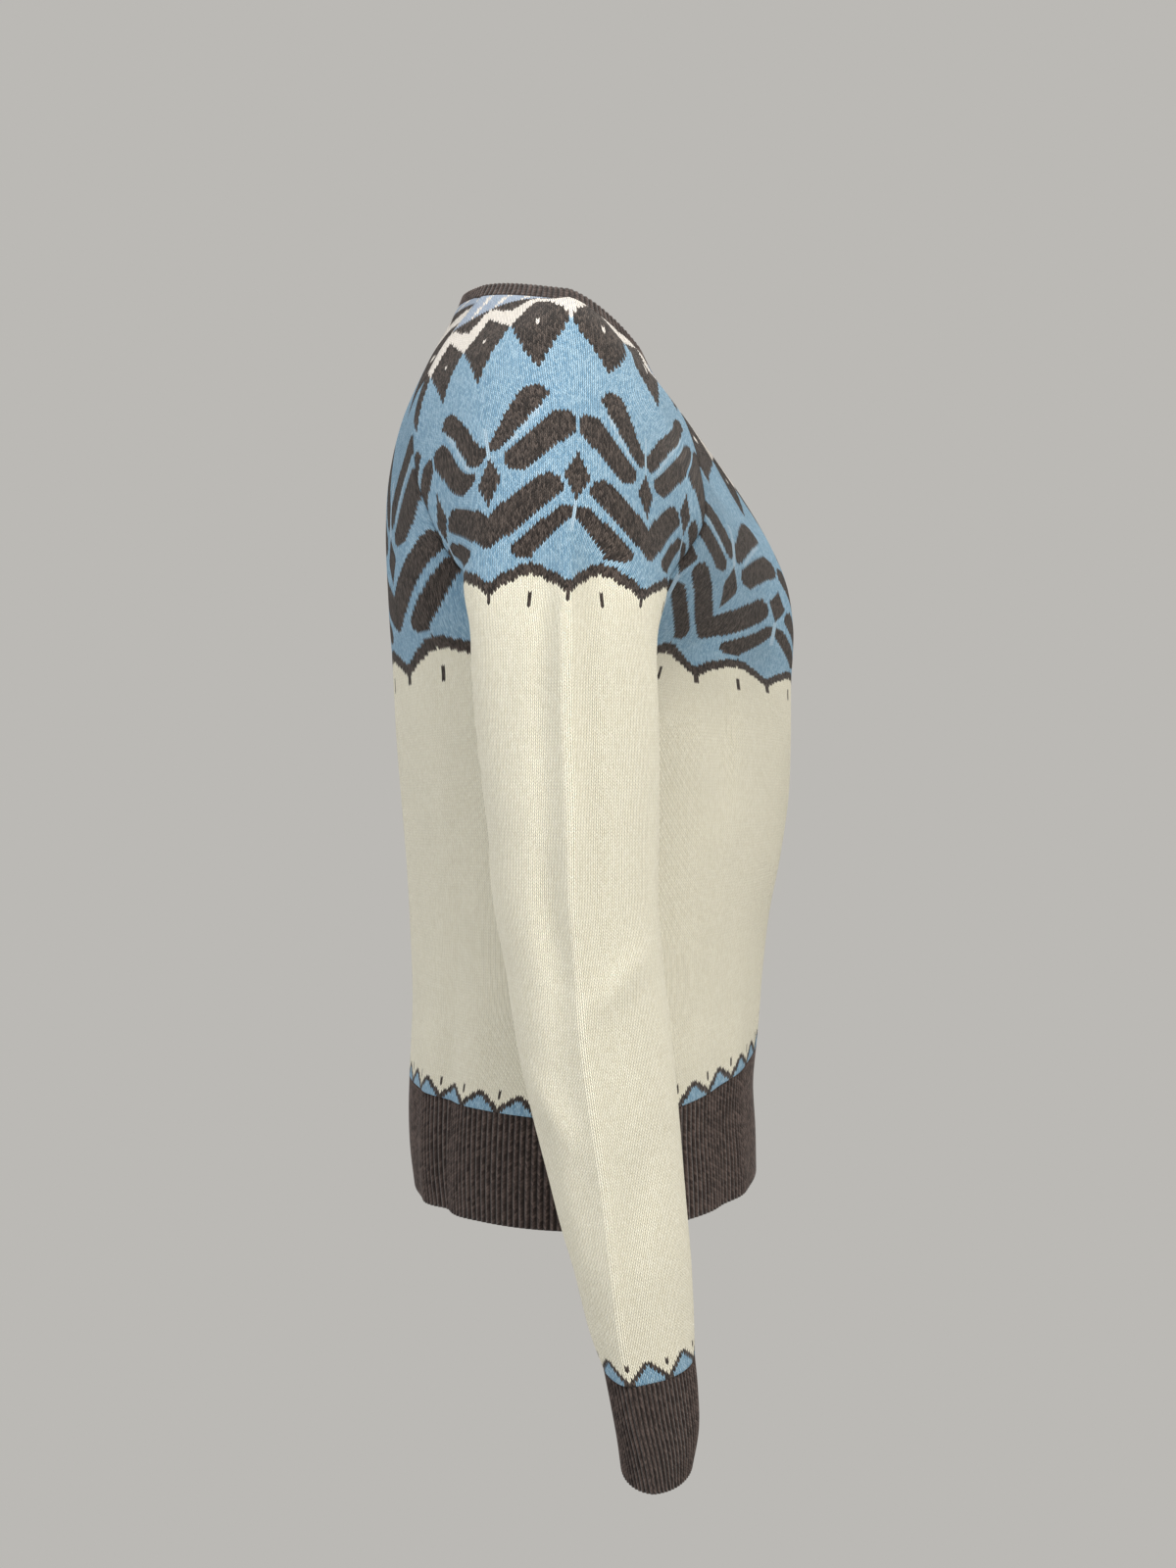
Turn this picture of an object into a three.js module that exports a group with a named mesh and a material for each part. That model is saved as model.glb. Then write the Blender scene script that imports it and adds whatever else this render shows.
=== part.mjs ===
// A long-sleeved knitted pullover with raglan sleeves, holding the open, worn shape it is cut for.
// Millimetres. +Z is up, the front faces -Y, and the wearer's right is at -X.
// The origin is the middle of the neck opening, at the height of the side neck.
import * as THREE from "three";

// Driving dimensions.
const wallThickness = 2.5;
const seamGap = 0.3;
const underarmGap = 0.6;
const neckband = { ribs: 160, ribHeight: 0.6, rise: 9 };
const hem = { ribs: 228, ribHeight: 0.8, insideStep: 6, rings: 3 };
const cuff = { ribs: 64, ribHeight: 0.6, insideStep: 4, rings: 3 };
const bodyColumns = 10;
const sleeveColumns = 9;
const yokeRows = 14;
const bodyRows = 10;
const sleeveRows = 17;

const colours = { cream: 0xe9e2d0, blue: 0x9cc3dc, brown: 0x5d5150 };

// The yoke, from the neckline to the underarm. "out" distances are away from the mid-plane.
// frontSeam, ridge and backSeam are [out, y, z]; frontMiddle and backMiddle are [y, z].
const yokeTable = [
  { frontSeam: [58, -38, -52], ridge: [84, 12, -18], backSeam: [56, 72, -10],
    frontMiddle: [-79, -112], backMiddle: [89, -9] },
  { frontSeam: [78, -46, -71], ridge: [112, 12, -23], backSeam: [66, 98, -48],
    frontMiddle: [-93, -129], backMiddle: [105, -44] },
  { frontSeam: [96, -63, -99], ridge: [138, 12, -40], backSeam: [80, 112, -88],
    frontMiddle: [-110, -149], backMiddle: [124, -80] },
  { frontSeam: [118, -72, -136], ridge: [160, 12, -70], backSeam: [103, 110, -130],
    frontMiddle: [-124, -172], backMiddle: [134, -120] },
  { frontSeam: [140, -72, -167], ridge: [186, 12, -111], backSeam: [128, 99, -162],
    frontMiddle: [-134, -198], backMiddle: [136, -160] },
  { frontSeam: [154, -56, -194], ridge: [214, 12, -160], backSeam: [149, 82, -193],
    frontMiddle: [-138, -224], backMiddle: [133.5, -205] },
  { frontSeam: [160, -30, -223], ridge: [230, 12, -205], backSeam: [158, 48, -223],
    frontMiddle: [-138, -243], backMiddle: [132.5, -231] },
  { frontSeam: [163, 5, -249], ridge: [243, 12.5, -249], backSeam: [163, 5, -249],
    frontMiddle: [-137, -262], backMiddle: [131.5, -256] },
];

// How each course of the yoke leaves its seams and ridge, as [out, y, z] handles of its curves.
const yokeBend = [
  { frontIn: [-12, -15, -30], frontOut: [14, 12, 13], ridgeFront: [0, -18, -6],
    ridgeBack: [0, 22, 2], backOut: [14, -17, 0], backIn: [-18, 12, 0], front: 42, back: 22 },
  { frontIn: [-18, -16, -24], frontOut: [14, 16, 14], ridgeFront: [-3, -20, -4],
    ridgeBack: [-3, 26, -2], backOut: [18, -24, 6], backIn: [-22, 8, 1], front: 44, back: 24 },
  { frontIn: [-30, -18, -16], frontOut: [20, 18, 22], ridgeFront: [-6, -28, -6],
    ridgeBack: [-6, 34, -4], backOut: [26, -24, 18], backIn: [-28, 7, 2], front: 48, back: 28 },
  { frontIn: [-36, -26, -14], frontOut: [24, 14, 24], ridgeFront: [-9, -34, -5],
    ridgeBack: [-9, 40, -4], backOut: [30, -20, 24], backIn: [-34, 14, 3], front: 56, back: 38 },
  { frontIn: [-34, -38, -12], frontOut: [28, 6, 18], ridgeFront: [-12, -42, -3],
    ridgeBack: [-12, 46, -3], backOut: [32, -14, 18], backIn: [-34, 26, 1], front: 72, back: 56 },
  { frontIn: [-16, -50, -12], frontOut: [32, 0, 6], ridgeFront: [-16, -46, -2],
    ridgeBack: [-16, 56, -2], backOut: [34, -2, 8], backIn: [-20, 40, -2], front: 88, back: 80 },
  { frontIn: [-6, -66, -9], frontOut: [24, -34, 2], ridgeFront: [-18, -56, -1],
    ridgeBack: [-18, 70, -1], backOut: [28, 42, 3], backIn: [-6, 62, -3], front: 95, back: 90 },
  { frontIn: [0, -76, -6], frontOut: [20, -65, 0], ridgeFront: [-20, -65, 0],
    ridgeBack: [-22, 80, 0], backOut: [22, 80, 0], backIn: [0, 72, -3], front: 100, back: 100 },
];

// The body below the underarm. side is [out, y, z]; front and back are [y, z] on the mid-plane.
// dip is how far the handles of the front course hang, so that the hem line lifts late.
const bodyTable = [
  { side: [163, 5, -249], front: [-137, -262], back: [131.5, -256], dip: 0 },
  { side: [157, 5, -292], front: [-137, -300], back: [129.5, -297], dip: 0 },
  { side: [151, 4, -338], front: [-135.5, -338], back: [126, -341], dip: 0 },
  { side: [148, 4, -384], front: [-130, -377], back: [122.5, -384], dip: 1.5 },
  { side: [148.5, 4, -430], front: [-122.5, -415], back: [120, -428], dip: 3 },
  { side: [152, 3.5, -475], front: [-118, -452], back: [118.5, -471], dip: 5 },
  { side: [158, 3, -509], front: [-116, -477], back: [119.5, -501], dip: 7 },
  { side: [163, 3, -533], front: [-114, -498], back: [120.5, -523], dip: 8 },
];
const hemTable = [
  { side: [163, 3, -533], front: [-114, -498], back: [120.5, -523], dip: 8 },
  { side: [168, 3, -554], front: [-111.5, -527], back: [121, -547], dip: 7 },
  { side: [172.5, 3, -576], front: [-113, -558], back: [120, -571], dip: 5 },
  { side: [176, 3, -598], front: [-113.5, -586], back: [117, -595], dip: 3 },
];

// The sleeve below the underarm. inner and ridge are its two pressed folds, as [out, y, z];
// front and back are how far it reaches along y between them.
const sleeveTable = [
  { inner: [163, 5, -249], ridge: [243, 12.5, -249], front: -40, back: 69.5 },
  { inner: [166, 9, -300], ridge: [247, 11.5, -300], front: -42, back: 65.5 },
  { inner: [168, 8, -352], ridge: [250, 9.5, -356], front: -42, back: 59 },
  { inner: [170, 7, -394], ridge: [251, 9, -400], front: -41.5, back: 55.6 },
  { inner: [172, 3, -434], ridge: [252, 5.5, -442], front: -44.5, back: 48 },
  { inner: [174, -1, -466], ridge: [253, 2.5, -476], front: -48.7, back: 43 },
  { inner: [177, -6, -502], ridge: [254, -2.5, -514], front: -52, back: 35.5 },
  { inner: [180, -14, -547], ridge: [256, -9.5, -561], front: -55.6, back: 23.5 },
  { inner: [182, -19, -576], ridge: [257, -13, -590], front: -58, back: 15.8 },
  { inner: [182.5, -23, -601], ridge: [257, -16, -615], front: -60, back: 8 },
  { inner: [182.5, -28, -632], ridge: [255, -20, -648], front: -61.5, back: -0.5 },
  { inner: [183, -32, -654], ridge: [253, -24, -670], front: -62, back: -9 },
];
const cuffTable = [
  { inner: [183, -32, -654], ridge: [253, -24, -670], front: -62, back: -9 },
  { inner: [184, -35, -675], ridge: [253, -28, -691], front: -64, back: -13 },
  { inner: [185, -38, -696], ridge: [252, -33, -712], front: -64.5, back: -16.5 },
  { inner: [186, -40, -716], ridge: [250, -37, -732], front: -61, back: -19 },
];
const sleeveCrease = 0.3;

// A table column at position t, from 0 in the first row to 1 in the last, on a smooth curve.
function column(table, name, t) {
  const points = table.map((row) => {
    const values = Array.isArray(row[name]) ? row[name] : [row[name]];
    return new THREE.Vector3(values[0], values[1] ?? 0, values[2] ?? 0);
  });
  return new THREE.CatmullRomCurve3(points, false, "catmullrom", 0.5).getPoint(t);
}

// A point of the wearer's right side, from its distance out of the mid-plane.
const onRight = (v) => new THREE.Vector3(-v.x, v.y, v.z);
const onMiddle = (v) => new THREE.Vector3(0, v.x, v.y);
const toLeft = (v) => new THREE.Vector3(-v.x, v.y, v.z);

// A stretch of one course between two points, each with the handle that its curve leaves along.
function course(start, startHandle, endHandle, end, count) {
  const curve = new THREE.CubicBezierCurve3(
    start, start.clone().add(startHandle), end.clone().add(endHandle), end);
  return curve.getSpacedPoints(count);
}

const join = (first, second) => [...first, ...second.slice(1)];
const mirrorCourse = (points) => points.map(toLeft).reverse();

// Courses of the body, all running the same way round as seen from above.
function frontCourse(seam, seamHandle, middle, middleReach, dip = 0) {
  const right = course(
    onRight(seam), onRight(seamHandle), new THREE.Vector3(-middleReach, 0, -dip),
    onMiddle(middle), bodyColumns);
  return join(right, mirrorCourse(right));
}

function backCourse(seam, seamHandle, middle, middleReach) {
  const right = course(
    onMiddle(middle), new THREE.Vector3(-middleReach, 0, 0), onRight(seamHandle),
    onRight(seam), bodyColumns);
  return join(mirrorCourse(right), right);
}

// A quarter of a body section, squarer than an ellipse across the front and back.
const sideReach = 0.56;
const middleReach = 0.62;

function bodyCourses(table, t) {
  const side = column(table, "side", t);
  const front = column(table, "front", t);
  const back = column(table, "back", t);
  const dip = column(table, "dip", t).x;
  const forward = new THREE.Vector3(
    0, sideReach * (front.x - side.y), 0.1 * (front.y - side.z) - dip);
  const backward = new THREE.Vector3(0, sideReach * (back.x - side.y), 0.1 * (back.y - side.z));
  return {
    front: frontCourse(side, forward, front, middleReach * side.x, dip),
    back: backCourse(side, backward, back, middleReach * side.x),
  };
}

// Courses of the right sleeve, from its back edge over the ridge to its front edge.
function yokeSleeveCourse(t) {
  const ridge = onRight(column(yokeTable, "ridge", t));
  const behind = course(
    onRight(column(yokeTable, "backSeam", t)), onRight(column(yokeBend, "backOut", t)),
    onRight(column(yokeBend, "ridgeBack", t)), ridge, sleeveColumns);
  const ahead = course(
    ridge, onRight(column(yokeBend, "ridgeFront", t)),
    onRight(column(yokeBend, "frontOut", t)),
    onRight(column(yokeTable, "frontSeam", t)), sleeveColumns);
  return join(behind, ahead);
}

function sleeveCourse(table, t) {
  const inner = onRight(column(table, "inner", t));
  const ridge = onRight(column(table, "ridge", t));
  const middle = (inner.y + ridge.y) / 2;
  const ahead = (column(table, "front", t).x - middle) / 0.75;
  const behind = (column(table, "back", t).x - middle) / 0.75;
  const handle = (reach, side) => new THREE.Vector3(side * sleeveCrease * Math.abs(reach), reach, 0);
  return join(
    course(inner, handle(behind, -1), handle(behind, 1), ridge, sleeveColumns),
    course(ridge, handle(ahead, 1), handle(ahead, -1), inner, sleeveColumns));
}

// A panel is a grid of points, rows from the neck down, with an outward normal at each point.
function makePanel(rows) {
  const normals = rows.map((row, r) => row.map((point, c) => {
    const down = new THREE.Vector3().subVectors(
      rows[Math.min(r + 1, rows.length - 1)][c], rows[Math.max(r - 1, 0)][c]);
    const along = new THREE.Vector3().subVectors(
      row[Math.min(c + 1, row.length - 1)], row[Math.max(c - 1, 0)]);
    return down.cross(along).normalize();
  }));
  return { rows, normals };
}

// Joins one panel's last column to the next one's first: a shared normal, and a gap between them.
function sewPanels(before, after, fromRow, toRow) {
  const moves = [];
  for (let r = fromRow; r <= toRow; r += 1) {
    const a = before.rows[r];
    const b = after.rows[r];
    const lastA = a.length - 1;
    const leave = new THREE.Vector3().subVectors(a[lastA], a[lastA - 1]).normalize();
    const enter = new THREE.Vector3().subVectors(b[1], b[0]).normalize();
    const gap = r === yokeRows ? underarmGap : seamGap;
    const across = leave.add(enter).normalize().multiplyScalar(gap / 2);
    moves.push({ r, lastA, across });
    const shared = before.normals[r][lastA].clone().add(after.normals[r][0]).normalize();
    before.normals[r][lastA] = shared;
    after.normals[r][0] = shared.clone();
  }
  return moves.map(({ r, lastA, across }) => () => {
    before.rows[r][lastA] = before.rows[r][lastA].clone().sub(across);
    after.rows[r][0] = after.rows[r][0].clone().add(across);
  });
}

// Pulls a panel's top or bottom row back from the ring that continues it.
function trimRow(panel, r, neighbour) {
  panel.rows[r] = panel.rows[r].map((point, c) => {
    const away = new THREE.Vector3().subVectors(panel.rows[neighbour][c], point).normalize();
    return point.clone().addScaledVector(away, seamGap / 2);
  });
}

// A closed solid from an outer grid and an inner grid of the same size.
function gridSolid(outer, inner) {
  const positions = [];
  const indices = [];
  const height = outer.length;
  const width = outer[0].length;
  const add = (grid) => grid.forEach((row) => row.forEach((p) => positions.push(p.x, p.y, p.z)));
  add(outer);
  add(inner);
  const at = (layer, r, c) => layer * height * width + r * width + c;
  const quad = (a, b, c, d) => indices.push(a, b, c, a, c, d);
  for (let r = 0; r + 1 < height; r += 1) {
    for (let c = 0; c + 1 < width; c += 1) {
      quad(at(0, r, c), at(0, r + 1, c), at(0, r + 1, c + 1), at(0, r, c + 1));
      quad(at(1, r, c), at(1, r, c + 1), at(1, r + 1, c + 1), at(1, r + 1, c));
    }
  }
  for (let r = 0; r + 1 < height; r += 1) {
    quad(at(1, r, 0), at(1, r + 1, 0), at(0, r + 1, 0), at(0, r, 0));
    quad(at(0, r + 1, width - 1), at(1, r + 1, width - 1), at(1, r, width - 1), at(0, r, width - 1));
  }
  for (let c = 0; c + 1 < width; c += 1) {
    quad(at(0, 0, c), at(0, 0, c + 1), at(1, 0, c + 1), at(1, 0, c));
    quad(at(1, height - 1, c), at(1, height - 1, c + 1), at(0, height - 1, c + 1),
      at(0, height - 1, c));
  }
  return solidGeometry(positions, indices);
}

function solidGeometry(positions, indices) {
  const geometry = new THREE.BufferGeometry();
  geometry.setAttribute("position", new THREE.Float32BufferAttribute(positions, 3));
  geometry.setIndex(indices);
  geometry.computeVertexNormals();
  return geometry;
}

function panelSolid(panel) {
  const inner = panel.rows.map((row, r) => row.map((point, c) => (
    point.clone().addScaledVector(panel.normals[r][c], -wallThickness))));
  return gridSolid(panel.rows, inner);
}

// A closed ring of {point, normal}, read at a fraction of the way round by its first ring's length.
function ringSpacing(ring, count) {
  const lengths = [0];
  ring.forEach((entry, i) => {
    lengths.push(lengths[i] + entry.point.distanceTo(ring[(i + 1) % ring.length].point));
  });
  const total = lengths[ring.length];
  const places = [];
  let i = 0;
  for (let k = 0; k < count; k += 1) {
    const target = (total * k) / count;
    while (lengths[i + 1] < target) i += 1;
    places.push(i + (target - lengths[i]) / (lengths[i + 1] - lengths[i]));
  }
  return places;
}

function readRing(ring, place) {
  const i = Math.floor(place) % ring.length;
  const f = place - Math.floor(place);
  const next = ring[(i + 1) % ring.length];
  return {
    point: ring[i].point.clone().lerp(next.point, f),
    normal: ring[i].normal.clone().lerp(next.normal, f).normalize(),
  };
}

// A ribbed band through closed rings: ribs raised on its outside, over a plain inside with fewer
// columns. Every insideStep-th outer column has an inner column behind it.
function ribbedBand(rings, { ribs, ribHeight, insideStep }) {
  const outerCount = ribs * 2;
  const innerCount = outerCount / insideStep;
  const places = ringSpacing(rings[0], outerCount);
  const positions = [];
  const indices = [];
  rings.forEach((ring) => places.forEach((place, k) => {
    const { point, normal } = readRing(ring, place);
    const raised = k % 2 === 0 ? 0 : ribHeight;
    const p = point.addScaledVector(normal, raised - ribHeight);
    positions.push(p.x, p.y, p.z);
  }));
  rings.forEach((ring) => places.filter((place, k) => k % insideStep === 0).forEach((place) => {
    const { point, normal } = readRing(ring, place);
    const p = point.addScaledVector(normal, -wallThickness);
    positions.push(p.x, p.y, p.z);
  }));
  const outside = (r, k) => r * outerCount + (k % outerCount);
  const inside = (r, k) => rings.length * outerCount + r * innerCount + (k % innerCount);
  const quad = (a, b, c, d) => indices.push(a, b, c, a, c, d);
  for (let r = 0; r + 1 < rings.length; r += 1) {
    for (let k = 0; k < outerCount; k += 1) {
      quad(outside(r, k), outside(r + 1, k), outside(r + 1, k + 1), outside(r, k + 1));
    }
    for (let k = 0; k < innerCount; k += 1) {
      quad(inside(r, k), inside(r, k + 1), inside(r + 1, k + 1), inside(r + 1, k));
    }
  }
  const bottom = rings.length - 1;
  for (let k = 0; k < innerCount; k += 1) {
    for (let j = 0; j < insideStep; j += 1) {
      const o = k * insideStep + j;
      const near = j * 2 < insideStep ? k : k + 1;
      indices.push(outside(0, o), outside(0, o + 1), inside(0, near));
      indices.push(outside(bottom, o + 1), outside(bottom, o), inside(bottom, near));
    }
    const half = k * insideStep + Math.ceil(insideStep / 2);
    indices.push(outside(0, half), inside(0, k + 1), inside(0, k));
    indices.push(outside(bottom, half), inside(bottom, k), inside(bottom, k + 1));
  }
  return solidGeometry(positions, indices);
}

const mesh = (name, geometry, colour) => {
  const material = new THREE.MeshStandardMaterial({ color: colour, roughness: 0.95, metalness: 0 });
  const piece = new THREE.Mesh(geometry, material);
  piece.name = name;
  return piece;
};

const fractions = (count) => Array.from({ length: count + 1 }, (unused, i) => i / count);

// Front and back panels: yoke courses between the raglan seams, then body courses to the hem rib.
const yokeSteps = fractions(yokeRows);
const bodySteps = fractions(bodyRows).slice(1).map((t) => bodyCourses(bodyTable, t));

const front = makePanel([
  ...yokeSteps.map((t) => frontCourse(
    column(yokeTable, "frontSeam", t), column(yokeBend, "frontIn", t),
    column(yokeTable, "frontMiddle", t), column(yokeBend, "front", t).x)),
  ...bodySteps.map((courses) => courses.front),
]);
const back = makePanel([
  ...yokeSteps.map((t) => backCourse(
    column(yokeTable, "backSeam", t), column(yokeBend, "backIn", t),
    column(yokeTable, "backMiddle", t), column(yokeBend, "back", t).x)),
  ...bodySteps.map((courses) => courses.back),
]);

// Sleeves: a cap between the raglan seams, then a tube closed by its underarm seam.
const rightSleeveRows = [
  ...yokeSteps.map(yokeSleeveCourse),
  ...fractions(sleeveRows).slice(1).map((t) => sleeveCourse(sleeveTable, t)),
];
const sleeveRight = makePanel(rightSleeveRows);
const sleeveLeft = makePanel(rightSleeveRows.map(mirrorCourse));

// At each underarm four edges meet, and all of them take one normal there.
function underarmNormal(sleeve, before, after) {
  const corners = [[sleeve, 0], [sleeve, sleeve.rows[0].length - 1],
    [before, before.rows[0].length - 1], [after, 0]];
  const sum = new THREE.Vector3();
  corners.forEach(([panel, c]) => sum.add(panel.normals[yokeRows][c]));
  sum.normalize();
  return () => corners.forEach(([panel, c]) => {
    panel.normals[yokeRows][c] = sum.clone();
  });
}

const underarms = [
  underarmNormal(sleeveRight, back, front),
  underarmNormal(sleeveLeft, front, back),
];
const moves = [
  ...sewPanels(sleeveRight, front, 0, yokeRows),
  ...sewPanels(front, sleeveLeft, 0, yokeRows),
  ...sewPanels(sleeveLeft, back, 0, yokeRows),
  ...sewPanels(back, sleeveRight, 0, yokeRows),
  ...sewPanels(front, back, yokeRows, yokeRows + bodyRows),
  ...sewPanels(back, front, yokeRows, yokeRows + bodyRows),
  ...sewPanels(sleeveRight, sleeveRight, yokeRows, yokeRows + sleeveRows),
  ...sewPanels(sleeveLeft, sleeveLeft, yokeRows, yokeRows + sleeveRows),
];
underarms.forEach((share) => share());

// Rings that the neckband, hem and cuffs continue, read before the seams are opened.
const ringOf = (panels, r) => panels.flatMap((panel) => {
  const last = panel.rows[r].length - 1;
  return panel.rows[r].slice(0, last).map((point, c) => (
    { point: point.clone(), normal: panel.normals[r][c].clone() }));
});
const neckRing = ringOf([front, sleeveLeft, back, sleeveRight], 0);
const hemTop = ringOf([front, back], yokeRows + bodyRows);
const cuffTop = { right: ringOf([sleeveRight], yokeRows + sleeveRows),
  left: ringOf([sleeveLeft], yokeRows + sleeveRows) };

moves.forEach((move) => move());
[front, back, sleeveRight, sleeveLeft].forEach((panel) => {
  const last = panel.rows.length - 1;
  trimRow(panel, 0, 1);
  trimRow(panel, last, last - 1);
});

// Outward normals of a closed ring, from its own direction and the way down to the next ring.
function withNormals(points, down) {
  return points.map((point, i) => {
    const along = new THREE.Vector3().subVectors(
      points[(i + 1) % points.length], points[(i - 1 + points.length) % points.length]);
    return { point, normal: new THREE.Vector3().crossVectors(down(i), along).normalize() };
  });
}

// Rings below a first one, through the courses of a table, trimmed to leave the seam gap.
function ringsBelow(top, courseRings) {
  const rings = [top.map(({ point, normal }, i) => {
    const away = new THREE.Vector3().subVectors(courseRings[0][i], point).normalize();
    return { point: point.clone().addScaledVector(away, seamGap / 2), normal };
  })];
  courseRings.forEach((points, k) => {
    const above = k === 0 ? top.map(({ point }) => point) : courseRings[k - 1];
    rings.push(withNormals(points, (i) => new THREE.Vector3().subVectors(points[i], above[i])));
  });
  return rings;
}

const dropLast = (points) => points.slice(0, -1);

const hemRings = ringsBelow(hemTop, fractions(hem.rings).slice(1).map((t) => {
  const { front: ahead, back: behind } = bodyCourses(hemTable, t);
  return [...dropLast(ahead), ...dropLast(behind)];
}));
const cuffRings = (top, turn) => ringsBelow(top, fractions(cuff.rings).slice(1)
  .map((t) => dropLast(turn(sleeveCourse(cuffTable, t)))));

// The neckband leans in towards the neck as it rises from the neckline.
const bandCentre = new THREE.Vector3(0, 12, 0);
const bandTop = neckRing.map(({ point }) => {
  const inward = new THREE.Vector3(bandCentre.x - point.x, bandCentre.y - point.y, 0).normalize();
  const lean = 3 + 3.5 * Math.abs(inward.x);
  return point.clone().addScaledVector(inward, lean).setZ(point.z + neckband.rise);
});
const neckRings = [
  withNormals(bandTop, (i) => new THREE.Vector3().subVectors(neckRing[i].point, bandTop[i])),
  neckRing.map(({ point, normal }, i) => {
    const away = new THREE.Vector3().subVectors(bandTop[i], point).normalize();
    return { point: point.clone().addScaledVector(away, seamGap / 2), normal };
  }),
];

const sweater = new THREE.Group();
sweater.add(
  mesh("front", panelSolid(front), colours.cream),
  mesh("back", panelSolid(back), colours.cream),
  mesh("sleeve_right", panelSolid(sleeveRight), colours.cream),
  mesh("sleeve_left", panelSolid(sleeveLeft), colours.cream),
  mesh("neckband", ribbedBand(neckRings, { ...neckband, insideStep: 4 }), colours.brown),
  mesh("hem_rib", ribbedBand(hemRings, hem), colours.brown),
  mesh("cuff_right", ribbedBand(cuffRings(cuffTop.right, (row) => row), cuff), colours.brown),
  mesh("cuff_left", ribbedBand(cuffRings(cuffTop.left, mirrorCourse), cuff), colours.brown),
);
sweater.name = "sweater";

export default sweater;
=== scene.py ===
# A knitted pullover with raglan sleeves and a patterned yoke, in its worn shape.
# Everything is worked out in millimetres and written to the meshes in metres.
# +Z is up, the front faces -Y, and the wearer's right is at -X.
import math

import bpy
import numpy as np
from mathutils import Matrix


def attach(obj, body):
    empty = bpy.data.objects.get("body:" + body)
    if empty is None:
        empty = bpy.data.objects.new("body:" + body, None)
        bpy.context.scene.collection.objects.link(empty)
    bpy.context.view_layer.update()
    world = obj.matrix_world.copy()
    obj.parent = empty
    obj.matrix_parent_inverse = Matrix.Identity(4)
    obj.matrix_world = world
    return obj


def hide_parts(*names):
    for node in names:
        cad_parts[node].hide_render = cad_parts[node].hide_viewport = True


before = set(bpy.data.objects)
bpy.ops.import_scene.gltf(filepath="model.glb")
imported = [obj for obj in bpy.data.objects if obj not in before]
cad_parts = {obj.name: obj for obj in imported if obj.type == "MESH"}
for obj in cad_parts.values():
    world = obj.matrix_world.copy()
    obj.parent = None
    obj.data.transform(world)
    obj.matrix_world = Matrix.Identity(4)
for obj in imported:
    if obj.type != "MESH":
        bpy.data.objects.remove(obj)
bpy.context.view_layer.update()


# Front panel: soft wool in plain stockinette, cream below and patterned over the yoke. It is
# shaped to two raglan seams and a scooped neck, and linked to the sleeves and the back.
CLOTH = 2.2
YOKE_ROWS = 110
BODY_ROWS = 150
HALF_BODY = 64
RIGHT = np.array([-1.0, 1.0, 1.0])

yoke = {
    "front_seam": [(58, -38, -52), (78, -46, -71), (96, -63, -99), (118, -72, -136),
                   (140, -72, -167), (154, -56, -194), (160, -30, -223), (163, 5, -249)],
    "front_middle": [(0, -79, -112), (0, -93, -129), (0, -110, -149), (0, -124, -172),
                     (0, -134, -198), (0, -138, -224), (0, -138, -243), (0, -137, -262)],
    "front_in": [(-12, -15, -30), (-18, -16, -24), (-30, -18, -16), (-36, -26, -14),
                 (-34, -38, -12), (-16, -50, -12), (-6, -66, -9), (0, -76, -6)],
    "front_reach": [(-42, 0, 0), (-44, 0, 0), (-48, 0, 0), (-56, 0, 0),
                    (-72, 0, 0), (-88, 0, 0), (-95, 0, 0), (-100, 0, 0)],
}
body = {
    "side": [(163, 5, -249), (157, 5, -292), (151, 4, -338), (148, 4, -384),
             (148.5, 4, -430), (152, 3.5, -475), (158, 3, -509), (163, 3, -533)],
    "front": [(0, -137, -262), (0, -137, -300), (0, -135.5, -338), (0, -130, -377),
              (0, -122.5, -415), (0, -118, -452), (0, -116, -477), (0, -114, -498)],
    "back": [(0, 131.5, -256), (0, 129.5, -297), (0, 126, -341), (0, 122.5, -384),
             (0, 120, -428), (0, 118.5, -471), (0, 119.5, -501), (0, 120.5, -523)],
    "dip": [(0, 0, 0), (0, 0, 0), (0, 0, 0), (0, 0, 1.5), (0, 0, 3), (0, 0, 5), (0, 0, 7),
            (0, 0, 8)],
}


def smooth_through(points, t):
    """A smooth curve through points, at fractions t of the way."""
    p = np.array(points, float)
    p = np.vstack([2 * p[0] - p[1], p, 2 * p[-1] - p[-2]])
    place = np.clip(t, 0, 1) * (len(points) - 1)
    i = np.minimum(place.astype(int), len(points) - 2)
    f = (place - i)[:, None]
    start, end = (p[i + 2] - p[i]) / 2, (p[i + 3] - p[i + 1]) / 2
    return ((2 * f**3 - 3 * f**2 + 1) * p[i + 1] + (f**3 - 2 * f**2 + f) * start
            + (3 * f**2 - 2 * f**3) * p[i + 2] + (f**3 - f**2) * end)


def courses(start, leave, arrive, end, count):
    """Each row's curve from start to end, in count even steps."""
    fine = np.linspace(0, 1, 241)

    def at(u):
        u = u[:, :, None]
        a, b = (start + leave)[:, None], (end + arrive)[:, None]
        return ((1 - u)**3 * start[:, None] + 3 * u * (1 - u)**2 * a
                + 3 * u**2 * (1 - u) * b + u**3 * end[:, None])

    steps = np.linalg.norm(np.diff(at(np.tile(fine, (len(start), 1))), axis=1), axis=2)
    length = np.cumsum(np.pad(steps, ((0, 0), (1, 0))), axis=1)
    even = [np.interp(np.linspace(0, row[-1], count + 1), row, fine) for row in length]
    return at(np.array(even))


def mirrored(grid):
    """The other half of a piece, its columns still running the same way round."""
    return (grid * RIGHT)[:, ::-1]


def front_courses(seam, leave, middle, reach):
    """Rows of the front, from the right seam to the left one."""
    right = courses(seam * RIGHT, leave * RIGHT, reach, middle, HALF_BODY)
    return np.concatenate([right, mirrored(right)[:, 1:]], axis=1)


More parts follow.
